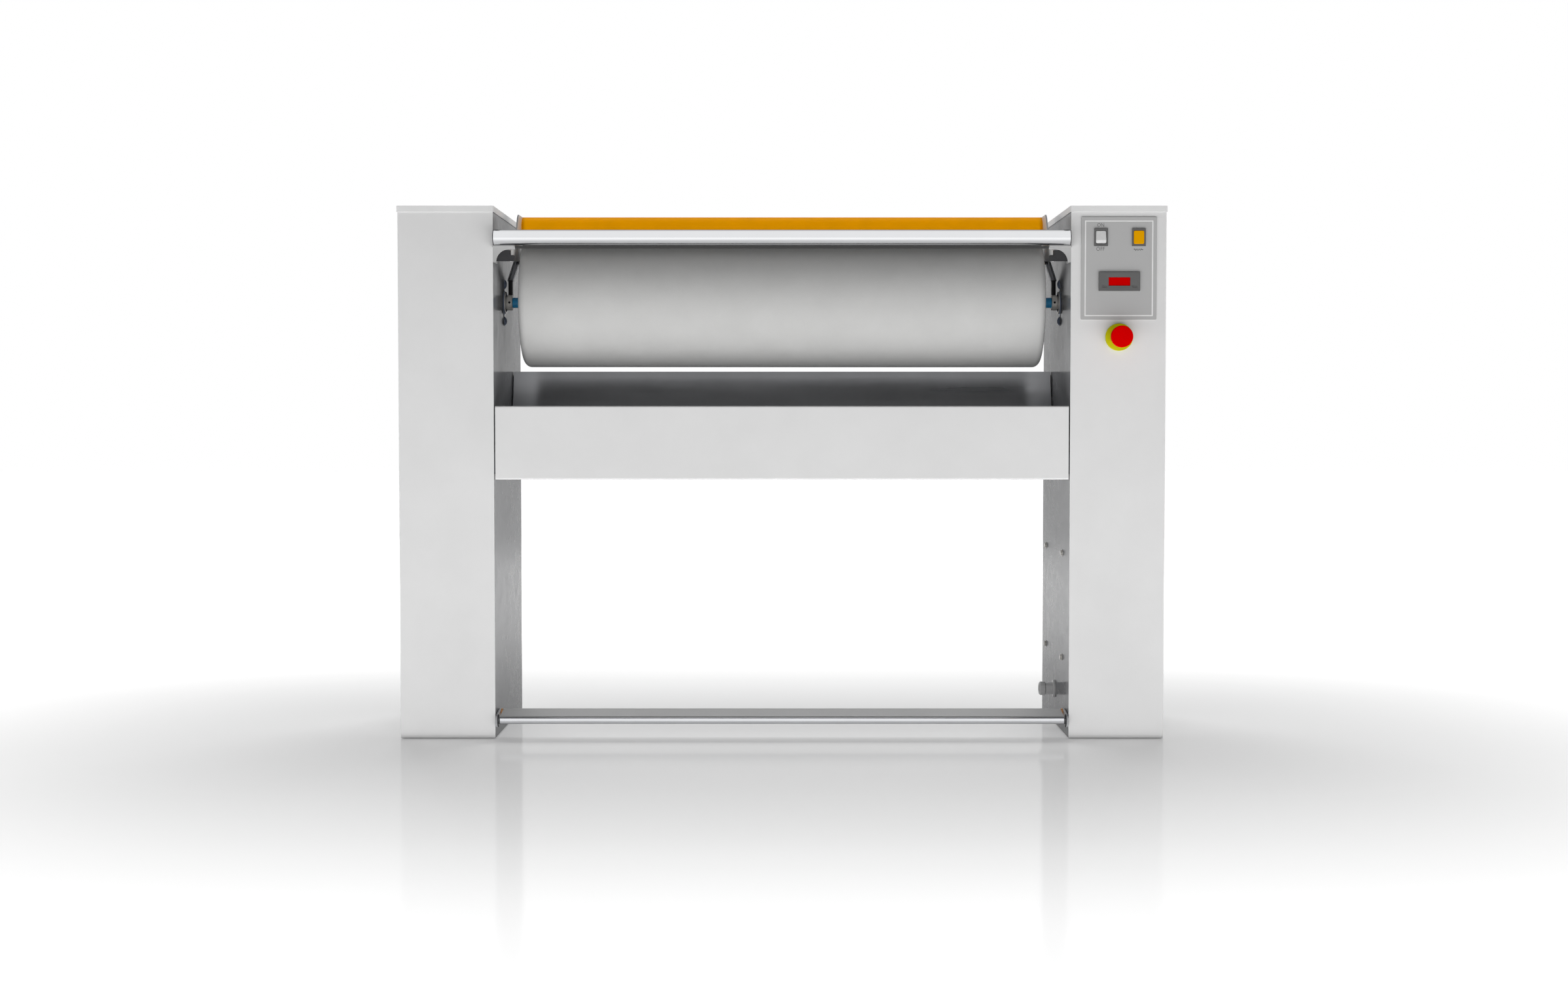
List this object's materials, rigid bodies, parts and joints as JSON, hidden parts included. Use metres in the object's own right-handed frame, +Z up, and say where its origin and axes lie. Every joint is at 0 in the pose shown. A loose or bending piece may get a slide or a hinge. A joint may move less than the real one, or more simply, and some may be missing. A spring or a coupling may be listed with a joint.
{
  "type": "flatwork ironer",
  "caption": "Free-standing flatwork ironer: padded roll between sheet-metal columns, heated chest that lifts against it, feed bar, finger guard, foot pedal and control plate.",
  "frame": {"origin": "on the floor, under the middle of the bounding box", "axes": "+X to the operator's right along the roll, +Y from the operator's side to the rear, +Z up"},
  "size_m": [1.44, 0.4666, 1],
  "materials": {
    "painted_sheet": "satin light-grey powder coat",
    "wall_steel": "polished stainless inner wall",
    "frame_steel": "dark primer on welded frames and drives",
    "zinc": "bright zinc plate",
    "chrome": "polished chrome tube",
    "amber": "opaque amber",
    "rubber": "matt black",
    "cloth": "off-white woven ironing cloth",
    "padding": "pressed wool padding",
    "shaft_blue": "blue lacquer",
    "chest_metal": "smooth dark ironing face",
    "insulation": "mineral wool",
    "heater": "oxidised heater rod",
    "panel_grey": "printed grey plate",
    "dark_plastic": "dark grey moulding",
    "white_plastic": "white moulding",
    "amber_lens": "amber lens",
    "red_window": "red display window",
    "red_plastic": "red moulding",
    "yellow_plastic": "yellow moulding",
    "light_plastic": "light grey moulding",
    "black_steel": "black lacquer",
    "belt": "black belt"
  },
  "bodies": {
    "root": {"column_frames": "frame_steel", "levelling_feet": "rubber", "left_column_shell": "painted_sheet", "right_column_shell": "painted_sheet", "inner_walls": "wall_steel", "column_caps": "painted_sheet", "back_covers": "painted_sheet", "cover_screws": "zinc", "cross_beams": "frame_steel", "front_panel": "painted_sheet", "rear_panel": "painted_sheet", "feed_bar": "chrome", "bar_brackets": "painted_sheet", "feed_plate": "painted_sheet", "guard_stops": "rubber", "bearing_races": "zinc", "bearing_flanges": "zinc", "flange_bolts": "zinc", "drive_belt": "belt", "roll_gearmotor": "frame_steel", "lift_guides": "frame_steel", "lift_gearmotor": "frame_steel", "pivot_pins": "zinc", "control_plate": "panel_grey", "rocker_bezel": "dark_plastic", "lamp_bezel": "dark_plastic", "lamp_lens": "amber_lens", "controller_case": "dark_plastic", "display_window": "red_window", "estop_base": "yellow_plastic", "estop_contact_block": "dark_plastic", "wall_bolts": "zinc", "control_box": "light_plastic", "cable_gland": "light_plastic"},
    "roll": {"roll_drum": "frame_steel", "roll_padding": "padding", "roll_cover": "cloth", "roll_shaft": "shaft_blue", "bearing_collars": "zinc", "roll_pulley": "frame_steel"},
    "motor_output": {"motor_pulley": "frame_steel"},
    "chest": {"chest_plate": "chest_metal", "chest_ends": "chest_metal", "chest_casing": "wall_steel", "heating_elements": "heater", "chest_insulation": "insulation", "lift_racks": "frame_steel"},
    "lift_drive": {"lift_pinions": "zinc", "lift_shaft": "zinc"},
    "guard": {"guard_cheeks": "painted_sheet", "guard_screen": "amber", "guard_arms": "black_steel"},
    "pedal": {"pedal_tube": "chrome", "pedal_levers": "black_steel", "pedal_plate": "painted_sheet"},
    "rocker": {"rocker_key": "white_plastic"},
    "stop_stem": {"estop_stem": "red_plastic"},
    "stop_head": {"estop_head": "red_plastic"},
    "left_button": {"left_key": "dark_plastic"},
    "right_button": {"right_key": "dark_plastic"}
  },
  "joints": [
    {"name": "roll_spin", "type": "hinge", "parent": "root", "child": "roll", "pos_m": [0, -0.02475, 0.828], "axis": [1, 0, 0], "continuous": true},
    {"name": "motor_turn", "type": "hinge", "parent": "root", "child": "motor_output", "pos_m": [-0.6, -0.02475, 0.56], "axis": [1, 0, 0], "continuous": true},
    {"name": "chest_lift", "type": "slide", "parent": "root", "child": "chest", "axis": [0, 0, 1], "range_m": [0, 0.131]},
    {"name": "lift_turn", "type": "hinge", "parent": "root", "child": "lift_drive", "pos_m": [0, 0.16375, 0.64], "axis": [-1, 0, 0], "range_deg": [0, 501]},
    {"name": "guard_swing", "type": "hinge", "parent": "root", "child": "guard", "pos_m": [0, 0.00875, 0.828], "axis": [-1, 0, 0], "range_deg": [0, 8]},
    {"name": "pedal_press", "type": "hinge", "parent": "root", "child": "pedal", "pos_m": [0, -0.13825, 0.044], "axis": [1, 0, 0], "range_deg": [0, 10], "stiffness_Nm_per_rad": 20, "springref_deg": -5.73},
    {"name": "rocker_tilt", "type": "hinge", "parent": "root", "child": "rocker", "pos_m": [0.5955, -0.18425, 0.9413], "axis": [1, 0, 0], "range_deg": [0, 14]},
    {"name": "stop_push", "type": "slide", "parent": "root", "child": "stop_stem", "axis": [0, 1, 0], "range_m": [0, 0.005]},
    {"name": "stop_twist", "type": "hinge", "parent": "stop_stem", "child": "stop_head", "pos_m": [0.63, -0.22625, 0.7554], "axis": [0, 1, 0], "range_deg": [0, 30], "stiffness_Nm_per_rad": 0.1, "springref_deg": -11.46},
    {"name": "left_key_press", "type": "slide", "parent": "root", "child": "left_button", "axis": [0, 1, 0], "range_m": [0, 0.0006], "stiffness_N_per_m": 300, "springref_m": -0.001},
    {"name": "right_key_press", "type": "slide", "parent": "root", "child": "right_button", "axis": [0, 1, 0], "range_m": [0, 0.0006], "stiffness_N_per_m": 300, "springref_m": -0.001}
  ],
  "couplings": [
    {"joint": "motor_turn", "follows": "roll_spin", "ratio": 2.5},
    {"joint": "lift_turn", "follows": "chest_lift", "rad_per_m": 66.667}
  ]
}
